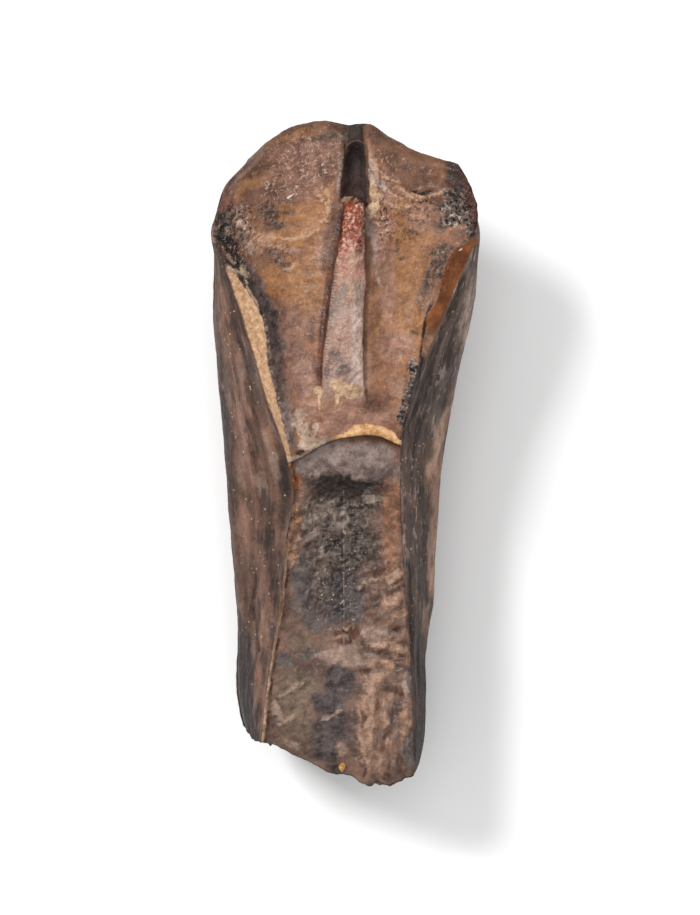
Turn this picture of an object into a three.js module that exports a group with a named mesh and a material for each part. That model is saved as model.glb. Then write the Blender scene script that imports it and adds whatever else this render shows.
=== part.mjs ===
// A rooted hadrosaur tooth, fossilised, lying on its back with the enamel face up.
// Millimetres. +X runs across the tooth, +Y along it from the root's broken end to the crown's tip,
// and +Z up, off the surface that it lies on. The origin is under the middle of the tooth.
//
// The tooth grew as one piece, so it is one closed solid: a box of a few thousand small faces, whose
// upper sheet is laid over the front of the tooth and whose lower sheet is laid over its back, with
// the box's walls closing the silhouette. The columns of the box follow the lines that run along the
// tooth, and its rows follow the broken end, the lower rim of the enamel and the crown's tip.
import * as THREE from "three";
import { mergeVertices } from "three/addons/utils/BufferGeometryUtils.js";

// ---- Driving dimensions ----
const LENGTH = 30;
const DRAWN_LENGTH = 30; // the length that every other dimension here is given for
const EDGE_WALL = 0.5; // height of the silhouette's edge, between the front and the back
const RIM_STEP = 0.3; // how far the enamel stands above the root's front face
const RIM_SLOPE_LENGTH = 0.25; // length over which that step falls
const RIM_STEP_REACH = 2.5; // length of root below the rim over which the face comes back up
const RIDGE_FULLNESS = 0.6; // under 1, the ridge is flatter on top and steeper at its feet
const FOOT_DROP = 0.3; // how far the ridge's feet drop, as a share of the troughs beside them
const FLAT_SHARE = 0.42; // how much of the width rests flat on the back
const WEAR_SLOPE = 0.95; // fall of the chewing facet behind the tip, in mm per mm
const WEAR_BLEND = 0.8; // reach of the rounding where that facet meets the back
const BREAK_LEAN = 1.1; // how much shorter the back of the root is than its front
const BREAK_ROUGHNESS = 0.16; // half the height of the waves across the broken end
const BREAK_WAVES_ACROSS = 2.3; // in radians for each millimetre across the end
const BREAK_WAVES_SHIFT = 1; // radians by which they miss the middle of the tooth
const BREAK_WAVES_DOWN = 1.7; // in radians for each millimetre down the end
const BREAK_LIP = 0.25; // share of the end's height, from the top, over which the waves set in
const BREAK_REACH = 5; // length over which the back of the root gives way to that lean
const ROUNDED_END = 1.1; // length over which the broken end's edges are rounded
const ROUNDED_END_DROP = 0.45;
const ROUNDED_END_INSET = 1; // distance from the silhouettes over which that rounding sets in
const ROUNDED_TIP = 0.5; // length over which the tip's front edge is rounded
const ROUNDED_TIP_DROP = 0.25;

const { clamp, lerp, smoothstep } = THREE.MathUtils;

// A smooth line through [place, value] points, the places ascending.
function line(...points) {
  const through = new THREE.CubicInterpolant(
    points.map(([place]) => place),
    points.map(([, value]) => value),
    1,
  );
  return (place) => through.evaluate(place)[0];
}

// ---- Lines along the tooth, seen from the front, as [y, x] ----
const outlineLeft = line(
  [-12.6, -4.56], [-12, -4.7], [-8, -4.93], [-4, -5.2], [0, -5.56], [4, -5.82], [7, -5.93],
  [9, -5.92], [10, -6.05], [11, -5.78], [12.1, -5.42], [13.3, -4.4], [15, -4.3],
);
const outlineRight = line(
  [-14.2, 3.35], [-13.5, 3.48], [-11, 3.65], [-9, 3.66], [-6.8, 4.0], [-4, 4.12], [0, 4.5],
  [3, 5.0], [5.5, 5.52], [7, 5.83], [9, 5.98], [10, 6.05], [11.2, 5.75], [12.3, 5.38],
  [13.05, 5.05], [15, 4.95],
);
// Where the front face turns down into the side facets.
const edgeLeft = line(
  [-13, -3.85], [-10, -3.48], [-7, -3.0], [-4, -2.68], [-1.5, -2.35], [-0.3, -2.62], [2.6, -3.55],
  [6, -4.55], [8.8, -5.5], [10, -5.9], [11, -5.6], [12.1, -5.2], [13.35, -4.0], [15, -3.9],
);
const edgeRight = line(
  [-14.4, 3.1], [-10, 2.97], [-5, 2.63], [-1, 2.45], [0.5, 2.48], [2.6, 3.1], [5.2, 3.95],
  [7.5, 4.92], [9.3, 5.68], [10, 5.9], [11.2, 5.6], [12.3, 5.22], [13.05, 4.9], [15, 4.8],
);
// Widths of the strip inside those edges that the enamel leaves bare.
const bareLeft = line(
  [-13, 0.24], [0, 0.2], [1.1, 0.3], [2.5, 0.42], [4, 0.5], [5, 0.68], [6.3, 0.82], [7.4, 0.55],
  [8.2, 0.25], [10, 0.2], [15, 0.2],
);
const bareRight = line(
  [-14, 0.22], [3, 0.18], [4.3, 0.3], [5.2, 0.5], [6.1, 0.75], [7, 0.6], [8, 0.75], [9, 0.8],
  [9.6, 0.45], [10, 0.15], [15, 0.2],
);
const enamelLeft = (y) => edgeLeft(y) + bareLeft(y);
const enamelRight = (y) => edgeRight(y) - bareRight(y);
// The two feet of the ridge down the middle of the crown.
const ridgeLeft = line(
  [-15, -0.9], [0, -1.05], [4, -1.15], [6, -1.0], [8, -0.72], [10, -0.35], [12, -0.15], [15, 0.05],
);
const ridgeRight = line(
  [-15, 1.3], [0, 1.25], [4, 0.92], [6, 0.95], [8, 1.05], [10, 1.05], [12, 1.0], [15, 0.85],
);

// ---- Lines across the tooth, seen from the front, as [x, y] ----
const brokenEnd = line(
  [-4.56, -12.6], [-4, -13], [-3.3, -13.15], [-2, -13.78], [-0.5, -14.5], [0.5, -14.72],
  [0.7, -14.95], [1.3, -15], [2, -14.96], [2.9, -14.6], [3.35, -14.2],
);
const enamelBase = line(
  [-6, -0.5], [-2.5, -0.35], [-1.9, -0.1], [-1, 0.45], [0, 0.75], [1, 0.88], [1.6, 0.8],
  [2.4, 0.45], [6, 0.3],
);
const tip = line(
  [-4.4, 13.3], [-3.5, 14.08], [-2.6, 14.68], [-1, 15], [0.2, 14.83], [1.15, 14.87],
  [2, 14.3], [3, 13.7], [4.4, 13.27], [5.05, 13.05],
);

// ---- Heights along the tooth, as [y, z] ----
const silhouetteLeft = line(
  [-13, 3.9], [-5, 4.4], [0, 4.8], [2, 5.0], [5, 5.6], [7, 6.3], [8.5, 6.95], [10, 7.5],
  [13, 7.45], [15, 7.4],
);
const silhouetteRight = line(
  [-14, 4.5], [-5, 4.7], [0, 5.0], [2, 5.2], [5, 5.8], [7, 6.4], [8.5, 7.0], [10, 7.5],
  [13, 7.45], [15, 7.4],
);
const edgeHeight = line(
  [-14, 6.5], [-8, 7.0], [-2, 7.3], [-0.5, 7.5], [1, 7.8], [5, 7.95], [10, 7.85], [13, 7.7],
  [15, 7.6],
);
const enamelRise = line([-15, 0.04], [-0.6, 0.04], [0.6, 0.28], [9, 0.28], [15, 0.2]);
const troughDepth = line([0, 0], [1, 0.12], [3, 0.3], [6, 0.46], [10, 0.5], [13, 0.28], [15, 0.1]);
// Below zero near the tip, where the ridge ends in a flat recess.
const ridgeHeight = line(
  [1.2, 0], [2, 0.14], [3, 0.42], [5, 0.62], [8, 0.7], [10.8, 0.66], [11.2, 0.5], [11.4, -0.1],
  [11.55, -0.4], [12.4, -0.5], [13.3, -0.48], [13.8, -0.3], [14.1, 0.04], [15, 0.04],
);
// Depth of the hollow in the root's front face, by distance from the enamel's rim.
const rootHollow = line(
  [-16, 0.1], [-9, 0.24], [-4, 0.4], [-2.3, 0.45], [-1.7, 0.12], [-1.2, 0], [-0.6, 0], [0, 0],
);

// ---- The columns and rows of the box ----
// Each band of columns lies between two neighbouring lines.
const SIDE_COLUMNS = 3;
const FACE_COLUMNS = 5;
const FLANK_COLUMNS = 6;
const bands = [
  { name: "left side", columns: SIDE_COLUMNS, from: outlineLeft, to: edgeLeft },
  { name: "left strip", columns: 1, from: edgeLeft, to: enamelLeft },
  { name: "left face", columns: FACE_COLUMNS, from: enamelLeft, to: ridgeLeft },
  { name: "ridge", columns: 4, from: ridgeLeft, to: ridgeRight },
  { name: "right face", columns: FACE_COLUMNS, from: ridgeRight, to: enamelRight },
  { name: "right strip", columns: 1, from: enamelRight, to: edgeRight },
  { name: "right side", columns: SIDE_COLUMNS, from: edgeRight, to: outlineRight },
];
const COLUMNS = bands.reduce((sum, band) => sum + band.columns, 0);
const ROOT_ROWS = 22;
const CROWN_ROWS = 30;
const ROWS = ROOT_ROWS + 1 + CROWN_ROWS; // the one between them is the enamel's rim
const LAYERS = 4;

// The band that a column of the front is in, and how far across it the column lies, from 0 to 1.
function frontBand(column) {
  let first = 0;
  for (const band of bands) {
    if (column <= first + band.columns) return { ...band, share: (column - first) / band.columns };
    first += band.columns;
  }
}

// On the back, as many columns on each flank, and the rest on the flat between them.
function backBand(column) {
  const middle = COLUMNS / 2;
  const flat = middle - FLANK_COLUMNS;
  const outward = Math.abs(column - middle);
  const onFlank = Math.max(outward - flat, 0) / FLANK_COLUMNS;
  const sideways = FLAT_SHARE * Math.min(outward / flat, 1) + (1 - FLAT_SHARE) * onFlank;
  const share = 0.5 + 0.5 * Math.sign(column - middle) * sideways;
  return { from: outlineLeft, to: outlineRight, share, onFlank };
}

function acrossAt({ from, to, share }, y) {
  return lerp(from(y), to(y), share);
}

// How far up the tooth a column meets a line that runs across it.
function meeting(place, across) {
  const REPEATS = 12;
  let y = 0;
  for (let i = 0; i < REPEATS; i++) y = across(acrossAt(place, y));
  return y;
}

// Where a row crosses a column, seen from the front.
function planAt(place, row) {
  const end = meeting(place, brokenEnd);
  const rim = meeting(place, enamelBase);
  const top = meeting(place, tip);
  const onCrown = row > ROOT_ROWS;
  const y = onCrown
    ? lerp(rim, top, (row - ROOT_ROWS - 1) / CROWN_ROWS)
    : lerp(end, rim - RIM_SLOPE_LENGTH, row / ROOT_ROWS);
  return { place, x: acrossAt(place, y), y, end, top, onCrown };
}

// A rise from 0 to 1 that starts steeply and ends sloping, as a facet with one rounded edge does.
function roundedRise(share) {
  const ROUNDING = 0.3;
  return lerp(share, Math.sqrt(1 - (1 - share) ** 2), ROUNDING);
}

// 1 at an end of the tooth, falling to 0 a given length away from it.
function nearness(distance, length) {
  return clamp(1 - distance / length, 0, 1) ** 2;
}

// How far the broken end's edges are rounded off, which fades out towards the silhouettes.
function endRounding({ x, y, end }) {
  const inset = Math.min(x - outlineLeft(y), outlineRight(y) - x) / ROUNDED_END_INSET;
  return ROUNDED_END_DROP * nearness(y - end, ROUNDED_END) * clamp(inset, 0, 1);
}

function crownFace({ name, share }, y) {
  const enamel = edgeHeight(y) + enamelRise(y);
  const foot = enamel - FOOT_DROP * troughDepth(y);
  if (name === "ridge") return foot + ridgeHeight(y) * Math.sin(Math.PI * share) ** RIDGE_FULLNESS;
  const inward = name === "left face" ? share : 1 - share;
  return lerp(enamel, foot, inward) - troughDepth(y) * Math.sin(Math.PI * inward);
}

function rootFace(x, y) {
  const middle = clamp((x - edgeLeft(y)) / (edgeRight(y) - edgeLeft(y)), 0, 1);
  const belowRim = Math.min(y - enamelBase(x), 0);
  const step = RIM_STEP * smoothstep(belowRim, -RIM_STEP_REACH, 0);
  return edgeHeight(y) + enamelRise(y) - step - rootHollow(belowRim) * Math.sin(Math.PI * middle);
}

function frontHeight(spot) {
  const { place, x, y, top, onCrown } = spot;
  const { name, share } = place;
  const strip = (inward) => edgeHeight(y) + inward * enamelRise(y);
  let z;
  if (name === "left side") z = lerp(silhouetteLeft(y), edgeHeight(y), roundedRise(share));
  else if (name === "right side") z = lerp(silhouetteRight(y), edgeHeight(y), roundedRise(1 - share));
  else if (name === "left strip") z = strip(share);
  else if (name === "right strip") z = strip(1 - share);
  else z = onCrown ? crownFace(place, y) : rootFace(x, y);
  return z - ROUNDED_TIP_DROP * nearness(top - y, ROUNDED_TIP) - endRounding(spot);
}

// The larger of two heights, rounded where they are closer than the given reach.
function blendedMax(a, b, reach) {
  const near = Math.max(reach - Math.abs(a - b), 0) / reach;
  return Math.max(a, b) + (near * near * reach) / 4;
}

function backHeight(spot) {
  const { place, y, top } = spot;
  const silhouette = place.share < 0.5 ? silhouetteLeft(y) : silhouetteRight(y);
  const flank = (silhouette - EDGE_WALL) * (1 - roundedRise(1 - place.onFlank));
  const wornFacet = edgeHeight(top) - EDGE_WALL - WEAR_SLOPE * (top - y);
  return blendedMax(flank, wornFacet, WEAR_BLEND) + endRounding(spot);
}

// How far the broken end is set back below the silhouette, where it leans and is rough.
function breakSetback({ x, y, z }, end) {
  const below = clamp(1 - z / silhouetteLeft(end), 0, 1);
  const waves = Math.sin(BREAK_WAVES_ACROSS * x + BREAK_WAVES_SHIFT) * Math.sin(BREAK_WAVES_DOWN * z);
  const roughness = BREAK_ROUGHNESS * waves * smoothstep(below, 0, BREAK_LIP);
  return (BREAK_LEAN * below + roughness) * nearness(y - end, BREAK_REACH);
}

function toothGeometry() {
  const box = new THREE.BoxGeometry(COLUMNS, ROWS, LAYERS, COLUMNS, ROWS, LAYERS);
  box.deleteAttribute("normal");
  box.deleteAttribute("uv");
  const position = box.getAttribute("position");
  const point = new THREE.Vector3();
  for (let i = 0; i < position.count; i++) {
    const column = Math.round(position.getX(i) + COLUMNS / 2);
    const row = Math.round(position.getY(i) + ROWS / 2);
    const depth = 0.5 - position.getZ(i) / LAYERS;
    const front = planAt(frontBand(column), row);
    const back = planAt(backBand(column), row);
    point.set(front.x, front.y, frontHeight(front));
    point.lerp(new THREE.Vector3(back.x, back.y, backHeight(back)), depth);
    point.y += breakSetback(point, lerp(front.end, back.end, depth));
    position.setXYZ(i, ...point);
  }
  const closed = mergeVertices(box);
  closed.scale(...Array(3).fill(LENGTH / DRAWN_LENGTH));
  closed.computeBoundingBox();
  const { min, max } = closed.boundingBox;
  closed.translate(-(min.x + max.x) / 2, -(min.y + max.y) / 2, -min.z);
  closed.computeVertexNormals();
  return closed;
}

function fossilTooth() {
  const stone = new THREE.MeshStandardMaterial({ color: 0x7d6152, roughness: 0.55, metalness: 0 });
  const tooth = new THREE.Mesh(toothGeometry(), stone);
  tooth.name = "tooth";
  return tooth;
}

const object = new THREE.Group();
object.add(fossilTooth());
export default object;
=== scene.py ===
import math

import bmesh
import bpy
import numpy as np
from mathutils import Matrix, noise


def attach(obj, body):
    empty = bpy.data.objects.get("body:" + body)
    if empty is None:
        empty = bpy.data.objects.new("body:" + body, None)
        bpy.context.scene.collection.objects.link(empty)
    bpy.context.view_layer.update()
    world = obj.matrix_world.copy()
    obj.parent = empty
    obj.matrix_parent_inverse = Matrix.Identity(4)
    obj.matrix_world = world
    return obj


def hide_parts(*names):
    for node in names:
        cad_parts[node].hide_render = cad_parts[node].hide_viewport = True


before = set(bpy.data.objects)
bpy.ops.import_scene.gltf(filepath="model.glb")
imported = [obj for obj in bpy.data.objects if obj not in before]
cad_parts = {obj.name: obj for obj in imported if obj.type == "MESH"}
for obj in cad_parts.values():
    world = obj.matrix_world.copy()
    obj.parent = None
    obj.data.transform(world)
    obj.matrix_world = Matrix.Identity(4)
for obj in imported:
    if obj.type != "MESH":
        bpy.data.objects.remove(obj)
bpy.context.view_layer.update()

# ---- Tooth ----
# A plant-eating dinosaur's tooth turned to stone: a crown whose front is faced with enamel, on a
# long root that is broken off at its end. It grew as one body, and lies loose on its back.
# Sizes are in millimetres: +X across the tooth, +Y along it to the tip, +Z out of the enamel face.
MM = 0.001


def line(*points):
    """A smooth line through (place, value) points, the places ascending."""
    place, value = np.array(points, dtype=float).T
    slope = np.gradient(value, place)

    def through(at):
        at = np.clip(at, place[0], place[-1])
        i = np.clip(np.searchsorted(place, at) - 1, 0, len(place) - 2)
        gap = place[i + 1] - place[i]
        t = (at - place[i]) / gap
        rise = t * t * (3 - 2 * t)
        level = value[i] * (1 - rise) + value[i + 1] * rise
        return level + gap * t * (1 - t) * (slope[i] * (1 - t) - slope[i + 1] * t)

    return through


def smooth(low, high, at):
    """0 below low, 1 above high, and an S-shaped rise between them."""
    t = np.clip((at - low) / (high - low), 0, 1)
    return t * t * (3 - 2 * t)


def blend(low, high, share):
    """low where the share is 0 and high where it is 1."""
    return low + (high - low) * share


# Lines along the tooth, seen from the front, as (y, x).
outline_left = line(
    (-12.6, -4.56), (-12, -4.7), (-8, -4.93), (-4, -5.2), (0, -5.56), (4, -5.82), (7, -5.93),
    (9, -5.92), (10, -6.05), (11, -5.78), (12.1, -5.42), (13.3, -4.4), (15, -4.3),
)
outline_right = line(
    (-14.2, 3.35), (-13.5, 3.48), (-11, 3.65), (-9, 3.66), (-6.8, 4), (-4, 4.12), (0, 4.5),
    (3, 5), (5.5, 5.52), (7, 5.83), (9, 5.98), (10, 6.05), (11.2, 5.75), (12.3, 5.38),
    (13.05, 5.05), (15, 4.95),
)
# Where the front face turns down into the side facets.
edge_left = line(
    (-13, -3.85), (-10, -3.48), (-7, -3), (-4, -2.68), (-1.5, -2.35), (-0.3, -2.62),
    (2.6, -3.55), (6, -4.55), (8.8, -5.5), (10, -5.9), (11, -5.6), (12.1, -5.2), (13.35, -4),
    (15, -3.9),
)
edge_right = line(
    (-14.4, 3.1), (-10, 2.97), (-5, 2.63), (-1, 2.45), (0.5, 2.48), (2.6, 3.1), (5.2, 3.95),
    (7.5, 4.92), (9.3, 5.68), (10, 5.9), (11.2, 5.6), (12.3, 5.22), (13.05, 4.9), (15, 4.8),
)
# Widths of the strip inside those edges that the enamel leaves bare.
bare_left = line(
    (-13, 0.24), (0, 0.2), (1.1, 0.3), (2.5, 0.42), (4, 0.5), (5, 0.68), (6.3, 0.82), (7.4, 0.55),
    (8.2, 0.25), (10, 0.2), (15, 0.2),
)
bare_right = line(
    (-14, 0.22), (3, 0.18), (4.3, 0.3), (5.2, 0.5), (6.1, 0.75), (7, 0.6), (8, 0.75), (9, 0.8),
    (9.6, 0.45), (10, 0.15), (15, 0.2),
)
# The two feet of the ridge down the middle of the crown.
ridge_left = line(
    (-15, -0.9), (0, -1.05), (4, -1.15), (6, -1), (8, -0.72), (10, -0.35), (12, -0.15),
    (15, 0.05),
)
ridge_right = line(
    (-15, 1.3), (0, 1.25), (4, 0.92), (6, 0.95), (8, 1.05), (10, 1.05), (12, 1), (15, 0.85),
)


def enamel_left(y):
    return edge_left(y) + bare_left(y)


def enamel_right(y):
    return edge_right(y) - bare_right(y)


# A band of the front face lies between each of these and the next.
lengthwise = [
    outline_left, edge_left, enamel_left, ridge_left,
    ridge_right, enamel_right, edge_right, outline_right,
]

# Lines across the tooth, seen from the front, as (x, y).
broken_end = line(
    (-4.56, -12.6), (-4, -13), (-3.3, -13.15), (-2, -13.78), (-0.5, -14.5), (0.5, -14.72),
    (0.7, -14.95), (1.3, -15), (2, -14.96), (2.9, -14.6), (3.35, -14.2),
)
enamel_base = line(
    (-6, -0.5), (-2.5, -0.35), (-1.9, -0.1), (-1, 0.45), (0, 0.75), (1, 0.88), (1.6, 0.8),
    (2.4, 0.45), (6, 0.3),
)
tip = line(
    (-4.4, 13.3), (-3.5, 14.08), (-2.6, 14.68), (-1, 15), (0.2, 14.83), (1.15, 14.87),
    (2, 14.3), (3, 13.7), (4.4, 13.27), (5.05, 13.05),
)

# Heights along the tooth, as (y, z).
silhouette_left = line(
    (-13, 3.9), (-5, 4.4), (0, 4.8), (2, 5), (5, 5.6), (7, 6.3), (8.5, 6.95), (10, 7.5),
    (13, 7.45), (15, 7.4),
)
silhouette_right = line(
    (-14, 4.5), (-5, 4.7), (0, 5), (2, 5.2), (5, 5.8), (7, 6.4), (8.5, 7), (10, 7.5),
    (13, 7.45), (15, 7.4),
)
edge_height = line(
    (-14, 6.5), (-8, 7), (-2, 7.3), (-0.5, 7.5), (1, 7.8), (5, 7.95), (10, 7.85), (13, 7.7),
    (15, 7.6),
)
enamel_rise = line((-15, 0.04), (-0.6, 0.04), (0.6, 0.28), (9, 0.28), (15, 0.2))
trough_depth = line((0, 0), (1, 0.12), (3, 0.3), (6, 0.46), (10, 0.5), (13, 0.28), (15, 0.1))
ridge_height = line(
    (1.2, 0), (2, 0.14), (3, 0.42), (5, 0.62), (8, 0.7), (10.8, 0.66), (11.2, 0.5), (11.4, -0.1),
    (11.55, -0.4), (12.4, -0.5), (13.3, -0.48), (13.8, -0.3), (14.1, 0.04), (15, 0.04),
)
root_hollow = line(
    (-16, 0.1), (-9, 0.24), (-4, 0.4), (-2.3, 0.45), (-1.7, 0.12), (-1.2, 0), (-0.6, 0), (0, 0),
)

# The solid starts as a box cut into a grid. Columns run along the tooth, between the lines above,
# and rows across it, between the broken end, the enamel's rim and the tip.
BAND_COLUMNS = np.array([21, 6, 30, 24, 30, 6, 19])
COLUMNS = int(BAND_COLUMNS.sum())
ROOT_ROWS, RIM_ROWS, CROWN_ROWS = 168, 3, 156
ROWS = ROOT_ROWS + RIM_ROWS + CROWN_ROWS
LAYERS = 10
FLANK_COLUMNS = 40  # on each side of the flat middle of the back

shape = bmesh.new()
bmesh.ops.create_cube(shape, size=1)
for axis, pieces in enumerate((COLUMNS, ROWS, LAYERS)):
    along = [e for e in shape.edges if abs(e.verts[0].co[axis] - e.verts[1].co[axis]) > 0.5]
    bmesh.ops.subdivide_edges(shape, edges=along, cuts=pieces - 1, use_grid_fill=True)

# The map that the surface is laid out on: the front and the back side by side, then the walls.
# Each island is (left, bottom, width, height), with the two box directions that it is laid along.
ISLANDS = {
    (2, 1): (0.005, 0.005, 0.450, 0.990, 0, 1),
    (2, -1): (0.465, 0.275, 0.400, 0.720, 0, 1),
    (1, -1): (0.465, 0.005, 0.400, 0.260, 0, 2),
    (0, -1): (0.875, 0.005, 0.020, 0.990, 2, 1),
    (0, 1): (0.905, 0.005, 0.020, 0.990, 2, 1),
    (1, 1): (0.935, 0.005, 0.020, 0.450, 2, 0),
}
layout = shape.loops.layers.uv.new("OFBake")
shape.normal_update()
for face in shape.faces:
    axis = max(range(3), key=lambda i: abs(face.normal[i]))
    left, bottom, width, height, rightward, upward = ISLANDS[axis, round(face.normal[axis])]
    face.smooth = True
    for corner in face.loops:
        point = corner.vert.co
        corner[layout].uv = (
            left + width * (point[rightward] + 0.5),
            bottom + height * (point[upward] + 0.5),
        )

mesh = bpy.data.meshes.new("tooth_stone")
shape.to_mesh(mesh)
shape.free()
grid = np.empty(3 * len(mesh.vertices))
mesh.vertices.foreach_get("co", grid)
grid = grid.reshape(-1, 3) + 0.5
column, row = np.rint(grid[:, 0] * COLUMNS).astype(int), np.rint(grid[:, 1] * ROWS).astype(int)
depth = 1 - grid[:, 2]

# Where each point lies seen from the front, once for the front sheet and once for the back.
band_starts = np.concatenate(([0], np.cumsum(BAND_COLUMNS)))
band = np.clip(np.searchsorted(band_starts, column, side="right") - 1, 0, len(BAND_COLUMNS) - 1)
band_share = (column - band_starts[band]) / BAND_COLUMNS[band]


def front_across(y):
    xs = np.stack([along(y) for along in lengthwise])
    points = np.arange(len(y))
    return blend(xs[band, points], xs[band + 1, points], band_share)


FLAT_SHARE = 0.42  # of the width of the back
middle = COLUMNS / 2
outward = np.abs(column - middle)
flat_columns = middle - FLANK_COLUMNS
on_flank = np.maximum(outward - flat_columns, 0) / FLANK_COLUMNS
sideways = FLAT_SHARE * np.minimum(outward / flat_columns, 1) + (1 - FLAT_SHARE) * on_flank
back_share = 0.5 + 0.5 * np.sign(column - middle) * sideways


def back_across(y):
    return blend(outline_left(y), outline_right(y), back_share)


RIM_SLOPE_LENGTH = 0.16
SETTLING_ROUNDS = 12


def plan(across):
    """Each point's x and y, and the y of the broken end and the tip in line with it."""
    crossings = []
    for crosswise in (broken_end, enamel_base, tip):
        y = np.zeros(len(column))
        for _ in range(SETTLING_ROUNDS):
            y = crosswise(across(y))
        crossings.append(y)
    end, rim, top = crossings
    rim_foot = rim - RIM_SLOPE_LENGTH
    past_root = row - ROOT_ROWS
    y = np.select(
        (past_root <= 0, past_root < RIM_ROWS),
        (blend(end, rim_foot, row / ROOT_ROWS), blend(rim_foot, rim, past_root / RIM_ROWS)),
        blend(rim, top, (past_root - RIM_ROWS) / CROWN_ROWS),
    )
    return across(y), y, end, top


def inside(left, right, x, y):
    """How far points are inside two lines along the tooth, negative outside them."""
    return np.minimum(x - left(y), right(y) - x)


def rounded_rise(share):
    """From 0 to 1, starting steeply and ending sloping, as a facet with a rounded edge does."""
    return blend(share, np.sqrt(1 - (1 - share) ** 2), 0.3)


def nearness(distance, length):
    return np.clip(1 - distance / length, 0, 1) ** 2


def end_rounding(x, y, end):
    """How far a face is worn back beside the broken end, between its corners."""
    return 0.45 * nearness(y - end, 1.1) * np.clip(inside(outline_left, outline_right, x, y), 0, 1)


def front_height(x, y, end, top):
    """The front: side facets, enamel with a ridge between two troughs, and a hollow root face."""
    edge = edge_height(y)
    enamel = edge + enamel_rise(y)
    trough = trough_depth(y)
    foot = enamel - 0.3 * trough
    ridge = foot + ridge_height(y) * np.sin(math.pi * band_share) ** 0.6
    inward = np.where(band == 2, band_share, 1 - band_share)
    beside_ridge = blend(enamel, foot, inward) - trough * np.sin(math.pi * inward)
    crown = np.where(band == 3, ridge, beside_ridge)
    past_rim = y - enamel_base(x)
    below_rim = np.minimum(past_rim, 0)
    across_root = np.clip((x - edge_left(y)) / (edge_right(y) - edge_left(y)), 0, 1)
    root = enamel - 0.3 * smooth(-2.5, 0, below_rim)
    root -= root_hollow(below_rim) * np.sin(math.pi * across_root)
    face = blend(crown, root, smooth(0, -RIM_SLOPE_LENGTH, past_rim))
    height = np.choose(band, [
        blend(silhouette_left(y), edge, rounded_rise(band_share)),
        blend(edge, enamel, band_share),
        face, face, face,
        blend(enamel, edge, band_share),
        blend(edge, silhouette_right(y), 1 - rounded_rise(1 - band_share)),
    ])
    return height - (0.25 * nearness(top - y, 0.5) + end_rounding(x, y, end))


EDGE_WALL = 0.5  # height of the walls between the front and the back
WEAR_SLOPE = 0.95
WEAR_BLEND = 0.8  # of height, in which the worn slope runs into the flanks


def back_height(x, y, end, top):
    """The back: flanks falling to a flat middle, and a worn slope under the tip, blended in."""
    silhouette = np.where(back_share < 0.5, silhouette_left(y), silhouette_right(y))
    flank = (silhouette - EDGE_WALL) * (1 - rounded_rise(1 - on_flank))
    worn = edge_height(top) - EDGE_WALL - WEAR_SLOPE * (top - y)
    meeting = np.clip(1 - np.abs(flank - worn) / WEAR_BLEND, 0, 1)
    return np.maximum(flank, worn) + meeting ** 2 * WEAR_BLEND / 4 + end_rounding(x, y, end)


front, back = plan(front_across), plan(back_across)
x, y, end, top = (blend(*sheets, depth) for sheets in zip(front, back))
z = blend(front_height(*front), back_height(*back), depth)

# The broken end is set back below the silhouette, where it leans and is rough.
END_LEAN = 1.1
END_WAVES = 0.16
END_REACH = 5  # of both, along the root
front_end = front[2]
below = np.clip(1 - z / silhouette_left(front_end), 0, 1)
waves = END_WAVES * np.sin(2.3 * x + 1) * np.sin(1.7 * z) * smooth(0, 0.25, below)
y += (END_LEAN * below + waves) * nearness(y - end, END_REACH)

# What lies where, in millimetres from the lines above, for both the relief and the colours.
front_side = smooth(0.5, 0.2, depth)
above_rim = y - enamel_base(x)
inside_edge = inside(edge_left, edge_right, x, y)
inside_enamel = inside(enamel_left, enamel_right, x, y)
inside_ridge = inside(ridge_left, ridge_right, x, y)
# How far around the tooth, as if unrolled: from the middle of the front or of the back out to the
# silhouettes, negative on the left.
FLAT_WIDTH, FLANK_WIDTH = 2.5, 5
from_middle = FLAT_WIDTH * np.minimum(outward / flat_columns, 1) + FLANK_WIDTH * on_flank
across_front = (FLAT_WIDTH + FLANK_WIDTH) * (column - middle) / middle
around_side = blend(across_front, np.sign(column - middle) * from_middle, depth)

SEED_STEP = 17.3  # from one seed's noise to the next one's


def fractal(octaves, seed, *along):
    """Fractal noise from about -1 to 1 at every point."""
    at = np.stack(along, axis=1) + SEED_STEP * seed
    return np.array([noise.fractal(p, 1.0, 2.0, octaves) for p in at.tolist()])


def lumps(size, octaves=3, stretch=(1, 1, 1), seed=0):
    """That noise with lumps of a size in millimetres."""
    width, length, height = size * np.array(stretch)
    return fractal(octaves, seed, x / width, y / length, z / height)


def streaks(width, length, octaves, seed):
    """That noise drawn out along the tooth, following its side facets."""
    return fractal(octaves, seed, around_side / width, y / length, depth)


wander_x = x + 0.18 * lumps(0.7, 3, seed=1)
wander_y = y + 0.18 * lumps(0.7, 3, seed=2)


def patches(*places):
    """1 inside ragged patches, 0 outside and 0.5 on their edges.

    Each is (x, y, half width, half length), and then its turn in degrees anticlockwise, if any."""
    cover = np.zeros(len(x))
    for centre_x, centre_y, half_width, half_length, *turn in places:
        angle = math.radians(turn[0] if turn else 0)
        c, s = math.cos(angle), math.sin(angle)
        dx, dy = wander_x - centre_x, wander_y - centre_y
        far = np.hypot((c * dx + s * dy) / half_width, (c * dy - s * dx) / half_length)
        cover = np.maximum(cover, smooth(1.6, 0.4, far))
    return cover


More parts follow.
